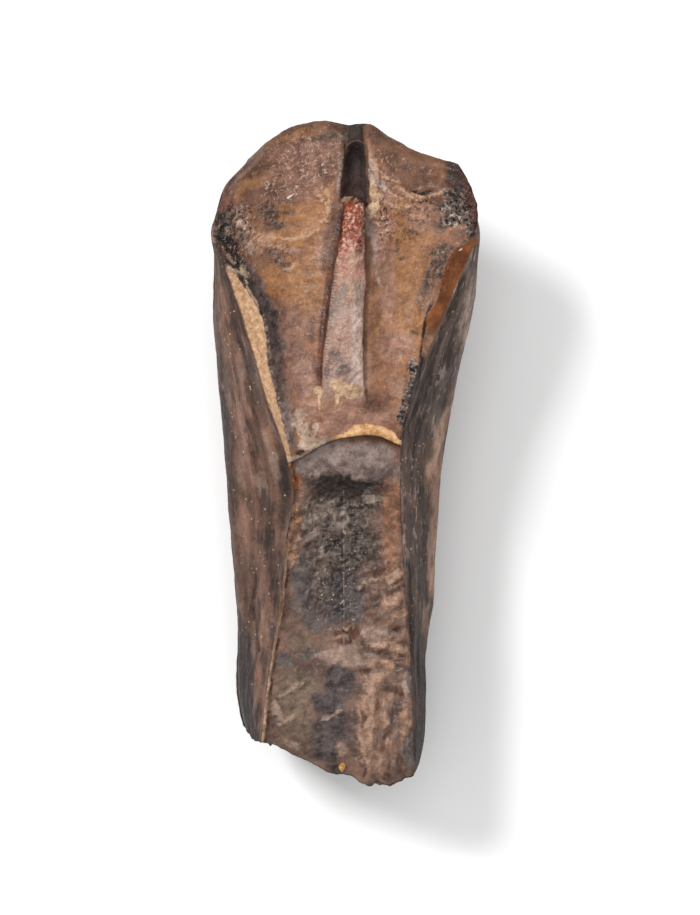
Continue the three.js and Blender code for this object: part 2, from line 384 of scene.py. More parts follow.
def strokes(half_width, *paths):
    """1 along each path of (x, y) points, falling to 0 at half_width from it."""
    near = np.zeros(len(x))
    line_x, line_y = blend(x, wander_x, 0.4), blend(y, wander_y, 0.4)
    for path in paths:
        for (x0, y0), (x1, y1) in zip(path, path[1:]):
            run_x, run_y = x1 - x0, y1 - y0
            along = (line_x - x0) * run_x + (line_y - y0) * run_y
            share = np.clip(along / (run_x ** 2 + run_y ** 2), 0, 1)
            far = np.hypot(line_x - x0 - share * run_x, line_y - y0 - share * run_y)
            near = np.maximum(near, smooth(half_width, 0, far))
    return near * front_side


# Stains, films and crusts, from the lowest to the topmost: the two colours that each is mottled
# in, how far its edges break up and how soft they are, how thickly it covers, and its patches.
CROWN_STAINS = {
    # Orange.
    "iron": ((142, 98, 60), (174, 128, 86), 0.75, 0.4, 0.95, (
        (-2.4, 10.8, 1, 0.5, -10), (-1.3, 10.7, 0.6, 0.8), (-2.6, 9.75, 1.6, 0.4),
        (-2.5, 7.9, 1.5, 1.1, 25), (-1.5, 8, 0.9, 1.8, -8), (-1.6, 6.7, 0.3, 0.5, -8),
        (2.7, 7.6, 1.3, 2.2, -12), (2.4, 5.2, 1.1, 1.4), (2.6, 9.7, 1.3, 0.6),
        (4.25, 12.6, 0.35, 0.45, -20), (-2.2, 14.4, 1, 0.2, 12), (-4.4, 12, 0.3, 0.9, -35),
        (2.6, 10.9, 1, 0.5), (-0.8, 12.2, 0.35, 0.9), (3.7, 9.7, 0.5, 0.2, 10), (3.3, 5.6, 0.3, 0.8, -12),
    )),
    # Paler and pinker.
    "rose": ((150, 116, 102), (188, 150, 132), 1, 0.5, 0.8, (
        (1.75, 8.2, 0.4, 2.6, 3), (0.8, 1.7, 1.1, 0.5), (1.7, 10.2, 0.4, 0.8), (-1.9, 3.6, 0.5, 1.1, 8),
        (3.4, 10.9, 0.9, 0.35, 10), (-1, 9.2, 0.35, 0.9, -10), (2, 12.1, 0.6, 0.25, 35),
        (-4.4, 9.9, 0.3, 0.6, 20), (-0.5, 1.1, 0.7, 0.5), (-0.1, 1.8, 1, 0.5), (1.9, 4.9, 0.5, 0.7),
        (0.9, 3.9, 0.3, 0.8), (-1.6, 2, 0.5, 0.5), (3.4, 10.6, 0.5, 0.4), (-0.9, 1, 0.3, 0.6, -15),
        (0.5, 2.5, 0.4, 0.3), (2.6, 4.9, 0.5, 0.5), (-2.3, 9.1, 0.4, 0.25), (-3.6, 9.7, 0.4, 0.3, -10),
        (2, 11.3, 0.3, 0.4, 10), (-0.6, 1.4, 0.4, 0.3),
    )),
    # Greyer and scratched, and in the upper left part a painted sheen.
    "mauve": ((110, 79, 70), (154, 120, 104), 1.1, 0.5, 0.85, (
        (-1.9, 13.1, 1.5, 1.1, 15), (-2.9, 12, 0.9, 0.6), (-4.6, 10.1, 0.5, 0.9, 20),
        (2.3, 13, 0.6, 0.5, 30), (-2.7, 6, 0.7, 0.7, 30), (-2.3, 4.3, 0.5, 1.6, 8), (-1, 13.9, 0.6, 0.5),
    )),
    # Dark brown, without an edge: part colour and part painted shade.
    "bistre": ((84, 59, 46), (124, 91, 72), 1.1, 0.5, 0.85, (
        (3.3, 12.5, 1, 0.6, -15), (2.1, 13.2, 0.8, 0.45, -32), (2.6, 12.3, 0.6, 0.4, -20),
        (-0.35, 14.4, 0.5, 0.6), (-3.1, 6.5, 0.4, 0.5, 35), (1.4, 14.3, 0.5, 0.4, -20),
        (5.4, 9.8, 0.6, 0.35), (-0.75, 9.4, 0.25, 1.6, -8), (3.5, 7, 0.35, 0.6, -15),
        (-4.1, 12.7, 0.6, 0.3, 45), (2.2, 13.5, 0.25, 0.12), (-4.3, 11.6, 0.5, 0.5),
        (3.05, 2.4, 0.3, 1, -12), (-4.6, 13, 0.5, 0.3, 45), (-5.2, 12.2, 0.3, 0.5, -30),
        (1.15, 2.25, 0.3, 0.45, 40), (0.75, 1.9, 0.3, 0.12), (-3.3, 11.9, 0.6, 0.3),
        (-3.9, 13.3, 0.6, 0.35, 40), (-0.2, 14.1, 0.3, 0.7), (-0.95, 12.6, 0.25, 0.6),
        (-1.6, 5.5, 0.25, 0.6),
    )),
    # Black-brown and smooth, at the right corner.
    "sepia": ((40, 28, 24), (86, 64, 54), 0.9, 0.4, 1, (
        (4.9, 12.55, 0.5, 0.7, 12), (5.2, 12, 0.4, 0.4, 20),
    )),
    # Violet-grey and smooth, inside the dark left edge.
    "smoke": ((70, 60, 62), (128, 110, 106), 0.9, 0.4, 0.9, (
        (-4.5, 8.35, 0.25, 0.5, 38), (-4, 7.7, 0.3, 0.7, 28), (-3.5, 6.6, 0.28, 0.7, 22),
        (-3.1, 5.2, 0.3, 0.9, 12),
    )),
    # Grey-violet, beside the ridge: part colour and part painted highlight.
    "lilac": ((140, 124, 120), (188, 174, 170), 1.3, 0.3, 0.85, (
        (1.3, 9.4, 0.13, 0.9, 2), (1.15, 10.5, 0.1, 0.8), (1.45, 8, 0.08, 0.5, 5),
        (1.3, 12.5, 0.16, 0.6, 6), (1.7, 12, 0.16, 0.4, 20),
    )),
    # Porous black.
    "manganese": ((62, 52, 48), (116, 94, 80), 1.5, 0.35, 0.85, (
        (-3.4, 10.9, 0.5, 0.5), (-2.5, 10.85, 0.28, 0.14, -15), (-3.1, 10.3, 0.5, 0.2),
        (-3.2, 9.15, 0.3, 0.12, -5), (-2.95, 8.8, 0.28, 0.25, -40), (-2.65, 8.4, 0.3, 0.25, -40),
        (-4.9, 11.3, 0.3, 0.1, -10), (-1, 14.3, 0.7, 0.14, 8), (-0.15, 14.1, 0.16, 0.6),
        (4.3, 8.9, 0.5, 0.7, -30), (4, 8.2, 0.5, 0.5, -20), (3.7, 7.6, 0.3, 0.35),
        (3.15, 10.05, 0.3, 0.1, -8), (4.3, 10.2, 0.35, 0.25), (2.3, 9.4, 0.1, 0.3),
        (2.5, 8.9, 0.2, 0.1, 30), (3.7, 6.1, 0.1, 0.6, -14), (3.1, 5.5, 0.25, 0.06, -20),
        (-3.5, 12.1, 0.3, 0.12, 20),
    )),
    # Broken black crust, speckled white.
    "crumbs": ((20, 15, 17), (124, 112, 106), 1.3, 0.25, 1, (
        (5, 11.2, 0.8, 0.35), (4.9, 10.6, 0.75, 0.35, 15), (5.6, 10.15, 0.3, 0.4),
        (-5.5, 10.4, 0.5, 0.9, -8), (-5.35, 9.6, 0.5, 0.5, 30), (-5, 9, 0.22, 0.4, 38),
        (3.05, 3.9, 0.2, 0.4), (2.85, 2.7, 0.2, 0.9, -18), (2.5, 1.7, 0.16, 0.5),
        (5.3, 11.8, 0.25, 0.3, 20), (4.7, 11.75, 0.4, 0.14, -15),
    )),
    # Grey, scratched.
    "mouse": ((104, 87, 78), (168, 143, 130), 1.2, 0.45, 0.8, (
        (-4.65, 10.4, 0.35, 0.9, 5), (-4.45, 9.5, 0.3, 0.5, 30), (-4.95, 11, 0.2, 0.3),
        (-4.25, 9.2, 0.22, 0.4, 30),
    )),
    # Purple-black and shiny, at the left corner.
    "pitch": ((22, 13, 13), (78, 56, 51), 0.8, 0.3, 1, (
        (-5.55, 10.2, 0.22, 0.8, -4), (-5.2, 9.4, 0.35, 0.5, 25), (-4.85, 8.75, 0.22, 0.4, 40),
        (5.65, 10.2, 0.2, 0.4),
    )),
    # Red-brown.
    "russet": ((78, 43, 33), (148, 94, 72), 0.9, 0.4, 0.9, (
        (-5.6, 11.4, 0.22, 0.8, -20), (-5.3, 12.1, 0.15, 0.5, -35), (-5.25, 11.3, 0.15, 0.4, -20),
    )),
    # Dark red.
    "rust": ((42, 17, 16), (112, 50, 36), 0.8, 0.3, 0.95, (
        (-5.9, 11, 0.16, 0.8, -14), (5.7, 11.2, 0.18, 1.3, 20), (5.85, 10.3, 0.16, 0.5),
    )),
    # Grey-white crust near the rim.
    "ash": ((160, 140, 124), (224, 206, 188), 2.2, 0.3, 0.9, (
        (-1.65, 0.5, 0.46, 0.45), (-1.95, 1.15, 0.35, 0.35, 20), (-1.4, 1.2, 0.2, 0.25, -20),
        (-2.05, 1.75, 0.3, 0.22), (-2.35, 1.4, 0.22, 0.3), (-0.95, 0.6, 0.2, 0.25),
    )),
}
RIDGE_STAINS = {
    # Grey-black, over the foot of the ridge.
    "smudge": ((74, 64, 64), (124, 108, 102), 1.6, 0.35, 0.7, (
        (-0.5, 4.3, 0.3, 0.35), (-0.8, 3.8, 0.13, 0.45), (0, 3.7, 0.35, 0.25),
    )),
    # Beige, and at the top of the red part two pale spots that are painted highlights.
    "bloom": ((168, 134, 114), (206, 176, 152), 1.3, 0.2, 0.8, (
        (0.33, 8.8, 0.34, 0.26), (0.15, 7.4, 0.2, 0.25), (0.1, 6.85, 0.2, 0.2), (-0.1, 7.95, 0.3, 0.1),
        (0.1, 11.5, 0.22, 0.09), (0.55, 11.4, 0.15, 0.08),
    )),
}
CRUSTS = {
    # Pale crusts.
    "cream": ((182, 152, 122), (222, 196, 164), 0.9, 0.15, 0.95, (
        (1.12, 12.1, 0.09, 0.3, 3), (1.25, 11.9, 0.24, 0.45, -5), (1.5, 11.5, 0.2, 0.22),
        (1.28, 11.1, 0.22, 0.4), (-0.25, 2.95, 0.42, 0.4), (0.4, 2.8, 0.42, 0.3), (-0.45, 2.5, 0.13, 0.3),
        (-1.27, 2.85, 0.18, 0.2), (-1.15, 2.3, 0.08, 0.5), (-2.95, 0.55, 0.1, 0.4, 12),
    )),
    # Thin and crinkled, along the top of the yellow strip.
    "scale": ((128, 112, 98), (206, 190, 166), 1.5, 0.2, 0.9, (
        (-5.3, 8.95, 0.09, 0.3, 35), (-4.95, 8.45, 0.18, 0.4, 50), (-4.5, 7.95, 0.14, 0.35, 30),
        (-4.35, 7.4, 0.1, 0.4, 18), (-4.1, 6.8, 0.07, 0.4, 16),
    )),
    # White flecks.
    "lint": ((206, 204, 196), (232, 232, 226), 0, 0.1, 1, (
        (-2.47, 11.62, 0.2, 0.07, 15), (5.23, 9.2, 0.08, 0.08),
    )),
}
ROOT_STAINS = {
    # Pale tan lumps: part colour and part painted highlight.
    "fawn": ((150, 120, 101), (196, 164, 142), 1.5, 0.4, 0.85, (
        (0.95, -12.2, 0.4, 1.5, -4), (1.2, -10.3, 0.45, 0.9), (2.1, -6.6, 0.5, 0.25, 20),
        (1.5, -8.4, 0.55, 0.4), (2.3, -8.9, 0.5, 0.3, 15), (2.3, -5.5, 0.4, 0.2, 20),
        (1.9, -11.2, 0.4, 0.3), (2.3, -5.9, 0.3, 0.12, 20), (1.9, -13.2, 0.2, 0.3),
        (1.55, -12, 0.4, 0.5, -4), (2.5, -7.2, 0.3, 0.2, 10), (1.25, -13.9, 0.36, 0.55),
        (2.65, -12.1, 0.25, 0.8), (1.8, -9.6, 0.4, 0.3),
    )),
    # Dark brown hollows between them: part colour and part painted shade.
    "umber": ((70, 50, 40), (112, 82, 66), 1.4, 0.35, 0.9, (
        (1.4, -5.25, 0.8, 0.2, 10), (0.8, -7, 0.3, 0.12, 25), (2.4, -6, 0.4, 0.12, 20),
        (2.3, -7.85, 0.35, 0.2, 15), (1.2, -7.3, 0.4, 0.22), (0.7, -9.7, 0.5, 0.2, -10),
        (2.3, -10.7, 0.6, 0.2), (1.9, -12.6, 0.2, 0.2, 10), (1.7, -13.1, 0.12, 0.5, -4),
        (1.3, -8.9, 0.35, 0.16, 5), (1.9, -14.6, 0.25, 0.2), (2.6, -9.3, 0.2, 0.5),
        (0.75, -12, 0.1, 0.6, -4), (2.5, -14, 0.2, 0.5), (0.9, -14.4, 0.1, 0.4),
    )),
    # Olive-brown, smooth.
    "taupe": ((92, 80, 68), (130, 114, 98), 1.2, 0.4, 0.85, (
        (-2.1, -10.6, 1, 0.9, 10), (-2, -8.4, 0.5, 0.4, 10), (-2.2, -12.4, 0.9, 1, 25),
        (-2.3, -11.7, 0.5, 0.35, 10),
    )),
    # Blue-grey, smooth.
    "slate": ((70, 67, 68), (106, 101, 100), 1.2, 0.4, 0.9, (
        (-1.8, -5.8, 0.5, 1.5, -8), (-2.15, -5.4, 0.3, 0.9), (-1.4, -7.6, 0.6, 0.5), (0.5, -7, 0.4, 0.8),
        (-2.75, -9.3, 0.45, 0.35), (2.9, -13.4, 0.25, 0.9), (2.85, -10.2, 0.2, 0.6),
        (-1.6, -9.1, 0.5, 0.2, 20), (-2.1, -5, 0.3, 0.8, -8),
    )),
    # Black, granular.
    "charcoal": ((24, 21, 22), (106, 98, 92), 1.6, 0.45, 0.95, (
        (0.1, -2, 1.6, 0.9), (-0.2, -3.7, 1.5, 1.8), (-0.35, -6.2, 1, 1.3), (0.3, -6, 0.6, 0.5),
    )),
    # Grey and granular.
    "grit": ((86, 77, 71), (162, 149, 140), 1.5, 0.45, 0.9, (
        (-1.5, -2.9, 0.45, 0.9), (-1.4, -4.3, 0.4, 0.6), (-0.9, -2.4, 0.5, 0.4), (1.2, -1.9, 0.4, 0.25),
        (-0.3, -3.1, 0.5, 0.45), (-1.6, -3.8, 0.3, 0.4),
    )),
    # Violet-black, smooth.
    "soot": ((40, 36, 39), (92, 84, 85), 1.3, 0.45, 0.95, (
        (-0.2, -10.1, 0.65, 0.7, 10), (-0.6, -11, 0.55, 0.6), (-0.6, -12.4, 0.9, 0.6, -20),
        (-0.95, -13.2, 0.6, 0.7), (-0.35, -14.2, 0.5, 0.3), (-0.4, -10.7, 0.6, 0.8),
        (-0.3, -6.9, 0.7, 0.8), (0, -6, 0.85, 0.7), (-0.5, -11.7, 0.5, 0.6, 10),
        (-1.2, -11.2, 0.4, 0.6, 20),
    )),
    # Orange-brown.
    "ochre": ((118, 84, 64), (166, 124, 98), 1.1, 0.45, 0.9, (
        (2.05, -3.2, 0.45, 1.9), (2.3, -1.8, 0.25, 0.5), (-2.3, -2.7, 0.25, 0.8, 8),
    )),
    # Beige bloom.
    "chalk": ((140, 120, 109), (182, 162, 149), 1.3, 0.45, 0.85, (
        (-0.4, -9, 1, 0.35, 15), (0.5, -9.3, 0.6, 0.35), (1.3, -8.1, 0.6, 0.4),
        (-3.1, -11.6, 0.2, 0.5, 10), (2, -11.4, 0.3, 0.2), (-2.5, -13.1, 0.35, 0.2, -25),
        (-0.2, -13.3, 0.25, 0.3), (-0.6, -11.8, 0.5, 0.07, 25), (2.75, -10.4, 0.15, 0.5),
    )),
    # Dark red-brown.
    "oxblood": ((48, 30, 26), (104, 68, 52), 0.8, 0.3, 1, (
        (0.05, -8.2, 0.55, 0.45),
    )),
}
EDGE_STAINS = {
    # Knotted border down the root's left edge.
    "tan": ((112, 80, 58), (198, 164, 138), 1.2, 0.35, 0.95, (
        (-2.3, -2.9, 0.3, 0.6), (-2.4, -3.6, 0.34, 0.4), (-2.35, -4.5, 0.2, 0.3),
        (-2.6, -4.4, 0.13, 0.7, 8),
    )),
    # Clear orange, by the rim's left end.
    "amber": ((88, 50, 26), (158, 104, 64), 0.8, 0.35, 0.95, (
        (-2.42, -0.75, 0.14, 0.45, 12), (-2.2, -1.4, 0.22, 0.5, 8),
    )),
    # Painted shade: grey-brown, at the right end of the smooth band under the rim.
    "dusk": ((62, 53, 51), (108, 96, 93), 1, 0.5, 0.75, (
        (1.35, -1, 0.4, 0.3), (2.1, -0.7, 0.3, 0.3),
    )),
    # One grain of yellow mineral.
    "gold": ((178, 130, 72), (226, 178, 108), 0.3, 0.1, 1, (
        (-0.12, -14.05, 0.16, 0.24),
    )),
}
SIDE_STAINS = {
    # Pinkish brown.
    "cinnamon": ((108, 81, 67), (146, 114, 98), 1.2, 0.45, 0.85, (
        (-3.5, -1.2, 0.55, 1.2, 10), (-3.9, -2.3, 0.45, 1.2, 8), (-3.05, -3.8, 0.3, 1.3, 6),
        (-3.2, 0.4, 0.35, 0.9, 14), (-4.6, -5.2, 0.25, 1.4, 6), (-5.2, 3.2, 0.25, 1.4, 4),
        (-5, 4.2, 0.35, 1.6, 8), (-4.7, 1.8, 0.45, 1.7, 8), (-4.5, -0.8, 0.4, 1.6, 14),
        (-4.5, -3.7, 0.4, 1.4, 6), (-3.65, -6.6, 0.35, 1.9, 8), (-3.85, -10.8, 0.2, 1.4, 6),
        (-3.75, -11.9, 0.18, 0.9, 6), (-5.4, 6.6, 0.25, 1.2), (-4.85, -6, 0.14, 1.6, 6),
        (3.95, -3.4, 0.18, 4.2, 3), (3.2, -10.8, 0.1, 1.2),
    )),
    # Orange-brown, along the right silhouette.
    "sienna": ((158, 124, 106), (212, 180, 157), 0.7, 0.35, 0.95, (
        (4.3, -1.8, 0.46, 2.8, 2), (4.05, -5.2, 0.24, 2.2, 3), (3.75, -8.3, 0.17, 1.6, 3),
        (4.65, 1.8, 0.18, 1.6, -10),
    )),
    # Grey-brown, high on the right: part colour and part painted sheen.
    "pewter": ((120, 103, 92), (190, 174, 164), 1.3, 0.45, 0.85, (
        (5.65, 7.6, 0.3, 1.7, 4), (5.5, 5.8, 0.3, 1.1, -10), (-3.1, -0.6, 0.18, 0.6, 10),
        (-3.7, -1.7, 0.2, 0.9, 10), (-5.35, 2.9, 0.16, 1, 4),
    )),
    # Black-brown.
    "coal": ((34, 28, 27), (86, 73, 69), 1.1, 0.45, 0.9, (
        (-5.45, 0.1, 0.2, 2.8, 5), (-4.1, 3.4, 0.16, 1.6, 16), (-4.45, -10.9, 0.4, 2.4, 2),
        (-4.9, -8.4, 0.2, 1.4, 4), (-3, -5.2, 0.16, 1.2, 8), (3.1, -3.4, 0.55, 4.2, 2),
        (4.5, 3.4, 0.6, 1.6, -14), (3.4, 0.1, 0.5, 1.3, -8), (3.1, -9, 0.3, 3, 2), (3.3, -13, 0.3, 1.4),
        (-3.3, -8.4, 0.12, 1.2, 10),
    )),
}
# Where the enamel is worn.
SURFACES = {
    "scuffed": (
        (-1.9, 13, 1.7, 1.4, 15), (-3, 12, 0.8, 0.6), (1.6, 12.9, 0.5, 0.9, 15), (3.5, 11.6, 1.1, 0.35),
        (-0.9, 11.4, 0.3, 1.2), (-4.6, 10.2, 0.6, 1.2, 10), (5, 11, 0.8, 1), (-5.2, 9.6, 0.5, 1.2, 20),
        (1.6, 10.2, 0.4, 1.2),
    ),
    "pitted": (
        (3.4, 11, 0.85, 0.65), (1.8, 11.2, 0.7, 1, 20), (-4.6, 10.3, 0.6, 1), (-3.3, 10.9, 0.6, 0.7),
        (4.2, 8.6, 0.7, 1.1, -25), (-2.9, 8.9, 0.5, 0.6, 30), (2.4, 9.9, 0.9, 0.35), (-5, 9, 0.5, 1, 35),
    ),
}

# Cracks open the surface, and wrinkles stand up from it.
CRACKS = (
    ((2.95, 11.85), (3.4, 11.7), (3.9, 11.95), (4.4, 11.95)),
    ((4.55, 11.8), (4.95, 11.55), (5.45, 11.4)),
    ((5, 11.95), (4.85, 11.5), (5.05, 11)),
    ((1, 12.2), (1.1, 11.6), (1, 11.1)),
    ((-5.75, 9.7), (-5, 8.9), (-4.5, 8.1), (-4, 7.2), (-3.75, 6.3)),
    ((-5.3, 8.6), (-4.9, 8.45), (-4.55, 7.8)),
    ((3.95, 6.9), (3.6, 6.3), (3.5, 5.3), (3.35, 4.5)),
    ((3.3, 4.4), (3.45, 4.25), (3.35, 3.7), (3, 2.4), (2.65, 1.2)),
    ((-2.2, -0.06), (-1.9, 0.1)),
    ((-4.3, -4.6), (-4.22, -5.6), (-4.32, -6.6), (-4.18, -7.6), (-4, -8.9)),
)
WRINKLES = (
    ((-4.15, 10.05), (-3.4, 9.8), (-2.5, 9.65), (-1.8, 9.8), (-1.2, 10.1)),
    ((-4.1, 9.8), (-3.5, 9.45), (-2.9, 9.3), (-2.45, 9.05)),
    ((-4.3, 9.6), (-4.1, 9.25), (-3.8, 9.1)),
    ((-1.3, 11.8), (-1, 11.4)),
    ((-0.85, 11.9), (-0.7, 11.2), (-0.8, 10.4)),
    ((2.95, 11.72), (3.5, 11.55), (4.3, 11.8)),
    ((1.5, 12.62), (2, 12.35), (2.4, 12.2)),
    ((1.1, 13.7), (1.2, 13), (1.5, 12.4)),
    ((1.25, 13.2), (1.45, 12.7), (1.8, 12.35)),
    ((1.7, 12), (2, 11.65), (2.5, 11.45)),
    ((2.4, 11.95), (2.9, 11.6), (3.4, 11.35)),
    ((1.8, 11.25), (2.3, 11.05), (3, 11.15)),
    ((-2.75, 8.35), (-2.45, 8.3), (-2.3, 8.5)),
    ((-3, -10.95), (-2.5, -10.7), (-1.9, -10.35)),
    ((-3.05, -12.3), (-2.3, -11.85)),
    ((-0.6, -7.85), (-0.2, -8), (0.3, -7.9)),
    ((-0.5, -8.35), (0, -8.2), (0.4, -8.45)),
    ((1.1, -5.75), (1.8, -5.6), (2.4, -5.2)),
    ((0.6, -6.1), (0.9, -5.7), (1, -5.9)),
)
# How far each of these covers every point. Only the sides' stains reach round to the back.
covers = {name: patches(*places) * front_side for name, places in SURFACES.items()}
for stains in (CROWN_STAINS, RIDGE_STAINS, CRUSTS, ROOT_STAINS, EDGE_STAINS):
    covers.update((name, patches(*places) * front_side) for name, (*_, places) in stains.items())
covers.update((name, patches(*places)) for name, (*_, places) in SIDE_STAINS.items())
covers["cracks"] = strokes(0.15, *CRACKS) * smooth(-0.5, 0.3, lumps(0.8, 2, seed=16))
covers["wrinkles"] = strokes(0.14, *WRINKLES)

# The relief along the normals: heights in millimetres, where they lie, times lumps of a size.
crown_part = smooth(-0.05, 0.05, above_rim) * smooth(-0.1, 0.1, inside_enamel) * front_side
root_part = smooth(0.05, -0.3, above_rim) * smooth(-0.05, 0.15, inside_edge) * front_side
side_part = 1 - smooth(-0.15, 0.05, inside_edge) * front_side
# Furrows along the sides and the back, shallower at the silhouettes and the tip.
from_tip = top - y
from_outline = inside(outline_left, outline_right, x, y)
relief = 0.1 * streaks(0.5, 4, 4, 4) + 0.16 * streaks(1.6, 6, 2, 5) + 0.03 * lumps(0.6, 3, seed=15)
relief *= side_part + smooth(0, 0.1, on_flank) * (1 - front_side)
relief *= blend(0.15, 1, smooth(0, 2, from_tip)) * blend(0.4, 1, smooth(0, 0.5, from_outline))
# The root's face: uneven, and granular in the hollow under the crown.
relief += root_part * 0.05 * lumps(0.5, 4, seed=6)
granular = smooth(-1.3, -2.2, above_rim) * smooth(-7.6, -6.4, y) * smooth(2, 1.4, np.abs(x + 0.1))
relief -= root_part * granular * 0.2 * np.abs(lumps(0.34, 3, seed=7))
# Its lower right has lumps lying across, and then upright ones towards the broken end.
lumpy = smooth(0.5, 1.1, x) * smooth(-4, -5.2, y) * smooth(-0.1, 0.2, inside_edge) * front_side
drawn_out = smooth(-9.6, -10.8, y)
lying, upright = lumps(0.62, 3, (1.5, 0.75, 1), 8), lumps(0.5, 3, (0.9, 2.2, 1), 18)
relief += lumpy * blend(0.22, 0.17, drawn_out) * blend(lying, upright, drawn_out)
# The crown has broken crusts, pits, wrinkles and cracks.
relief += crown_part * (0.07 * lumps(1.1, 3, seed=9) + 0.03 * lumps(0.3, 3, seed=13))
relief += covers["crumbs"] * 0.24 * lumps(0.32, 4, seed=10)
relief -= covers["pitted"] * crown_part * 0.1 * smooth(0.1, 0.6, lumps(0.22, 2, seed=14))
relief += 0.1 * covers["wrinkles"] - 0.12 * covers["cracks"]
# The ridge has lumps that grow towards its top, and a groove along each foot.
crest_part = crown_part * smooth(0.12, 0.35, inside_ridge) * smooth(11.45, 11.2, y)
crest_lumps = lumps(0.36, 3, (1, 0.8, 1), 11) * blend(0.25, 1, smooth(8.2, 9.2, y))
relief += crest_part * 0.1 * crest_lumps
relief -= crown_part * 0.09 * smooth(0.18, 0, np.abs(inside_ridge - 0.04)) * smooth(2, 4, y)
# The swollen rim at the right of the crown's foot.
relief += crown_part * 0.06 * smooth(-0.6, 0.4, x) * smooth(0.5, 0.15, above_rim)
# Knots down the root's upper left edge, and a thin bead that goes on from them.
relief += covers["tan"] * 0.12 * (lumps(0.5, 3, (0.8, 1.2, 1), 19) + 0.3)
edge_bead = smooth(0.09, 0, np.abs(inside_edge - 0.05)) * smooth(0, -1, x) * smooth(-3.5, -4.5, y)
relief += root_part * 0.05 * edge_bead * smooth(-0.6, 0.2, lumps(0.6, 2, seed=17))
# The grain of the broken end goes inwards.
grainy = lumps(1.1, 5, seed=12)
relief += (row == 0) * (0.06 * grainy - 0.35 * smooth(0.05, 0.3, depth) * np.abs(grainy))
# All of it is shallower on narrow side facets, and on top of it come broad swellings.
left_facet, right_facet = edge_left(y) - outline_left(y), outline_right(y) - edge_right(y)
facet_width = np.select((band == 0, band == 6), (left_facet, right_facet), 1)
relief *= smooth(0, 0.8, facet_width)
relief += 0.05 * lumps(3, 2, seed=3)


def lay_out(px, py, pz):
    mesh.vertices.foreach_set("co", np.stack((px, py, pz), axis=1).ravel() * MM)
    mesh.update()


def store(**attributes):
    for name, values in attributes.items():
        made = mesh.attributes.new(name, "FLOAT", "POINT")
        made.data.foreach_set("value", values.astype(np.float32))


lay_out(x, y, z)
normals = np.empty(3 * len(mesh.vertices))
mesh.vertices.foreach_get("normal", normals)
x, y, z = np.stack((x, y, z)) + relief * normals.reshape(-1, 3).T
lay_out(x - (x.max() + x.min()) / 2, y - (y.max() + y.min()) / 2, np.maximum(z, 0))
tooth = bpy.data.objects.new("tooth_stone", mesh)
bpy.context.scene.collection.objects.link(tooth)
# The hollow attribute is how deep the relief dips, for painted shade in the material.
store(
    **covers, above_rim=above_rim, inside_edge=inside_edge, inside_enamel=inside_enamel,
    inside_ridge=inside_ridge, around_side=around_side, underside=depth, broken=row == 0,
    from_silhouette=np.minimum(from_outline, from_tip), hollow=np.clip(-relief * 8, 0, 1),
)


class Value:
    """One value in the material, so that shader maths reads as sums."""

    def __init__(self, tree, socket):
        self.tree = tree
        self.socket = socket

    def node(self, kind, settings, *inputs, output=None):
        """Adds a node, its settings first, and fills its inputs in order, leaving out any None."""
        made = self.tree.nodes.new(kind)
        for name, setting in settings.items():
            setattr(made, name, setting)
        sockets = [socket for socket in made.inputs if socket.enabled]
        for socket, given in zip(sockets, inputs):
            if isinstance(given, Value):
                self.tree.links.new(given.socket, socket)
            elif given is not None:
                socket.default_value = given
        first = next(socket for socket in made.outputs if socket.enabled)
        return Value(self.tree, made.outputs[output] if output else first)

    def feed(self, socket):
        self.tree.links.new(self.socket, socket)

    def sum(self, operation, *parts):
        """Vector maths if any part is a vector or a colour, and plain maths otherwise."""
        kinds = [part.socket.type if isinstance(part, Value) else type(part) for part in parts]
        if any(kind in ("VECTOR", "RGBA", tuple) for kind in kinds):
            parts = [part if isinstance(part, (Value, tuple)) else (part,) * 3 for part in parts]
            return self.node("ShaderNodeVectorMath", {"operation": operation}, *parts)
        return self.node("ShaderNodeMath", {"operation": operation}, *parts)

    def __add__(self, other):
        return self.sum("ADD", self, other)

    def __sub__(self, other):
        return self.sum("SUBTRACT", self, other)

    def __mul__(self, other):
        return self.sum("MULTIPLY", self, other)

    def __truediv__(self, other):
        return self.sum("DIVIDE", self, other)

    def __rsub__(self, other):
        return self.sum("SUBTRACT", other, self)

    __radd__ = __add__
    __rmul__ = __mul__

    def __abs__(self):
        return self.sum("ABSOLUTE", self)

    def over(self, low, high):
        """0 below low, 1 above high, smooth between them, or the other way if high is the lower."""
        settings = {"interpolation_type": "SMOOTHSTEP"}
        return self.node("ShaderNodeMapRange", settings, self, low, high, 0, 1)

    def between(self, low, high, soft):
        """1 between low and high, with edges that soft."""
        return self.over(low - soft, low + soft) * self.over(high + soft, high - soft)

    def mix(self, first, second):
        """first where this value is 0 and second where it is 1."""
        return self.node("ShaderNodeMix", {"data_type": "RGBA"}, self, first, second)

    def noise(self, size, detail=3, roughness=0.55, stretch=(1, 1, 1), seed=0):
        """Noise from 0 to 1 at this place, with lumps of that size."""
        at = self * tuple(1 / (size * s) for s in stretch) + (SEED_STEP * seed,) * 3
        return self.node("ShaderNodeTexNoise", {}, at, 1, detail, roughness)

    def cells(self, size, seed=0):
        """Distance from the middle of cells of that size at this place."""
        at = self * (1 / size) + (SEED_STEP * seed,) * 3
        return self.node("ShaderNodeTexVoronoi", {}, at, 1)


def srgb(red, green, blue):
    """A colour given as 0 to 255 on a screen, as the shader takes it."""
    def linear(level):
        level /= 255
        return level / 12.92 if level <= 0.04045 else ((level + 0.055) / 1.055) ** 2.4
    return (linear(red), linear(green), linear(blue), 1)


stone = bpy.data.materials.new("fossil_tooth")
stone.use_nodes = True
tree = stone.node_tree
surface = tree.nodes["Principled BSDF"]
surface.inputs["Specular IOR Level"].default_value = 0.22
place = Value(tree, tree.nodes.new("ShaderNodeTexCoord").outputs["Object"]) * (1 / MM)
x_at = place.node("ShaderNodeSeparateXYZ", {}, place, output="X")
y_at = place.node("ShaderNodeSeparateXYZ", {}, place, output="Y")


def stored(name):
    return place.node("ShaderNodeAttribute", {"attribute_name": name}, output="Fac")


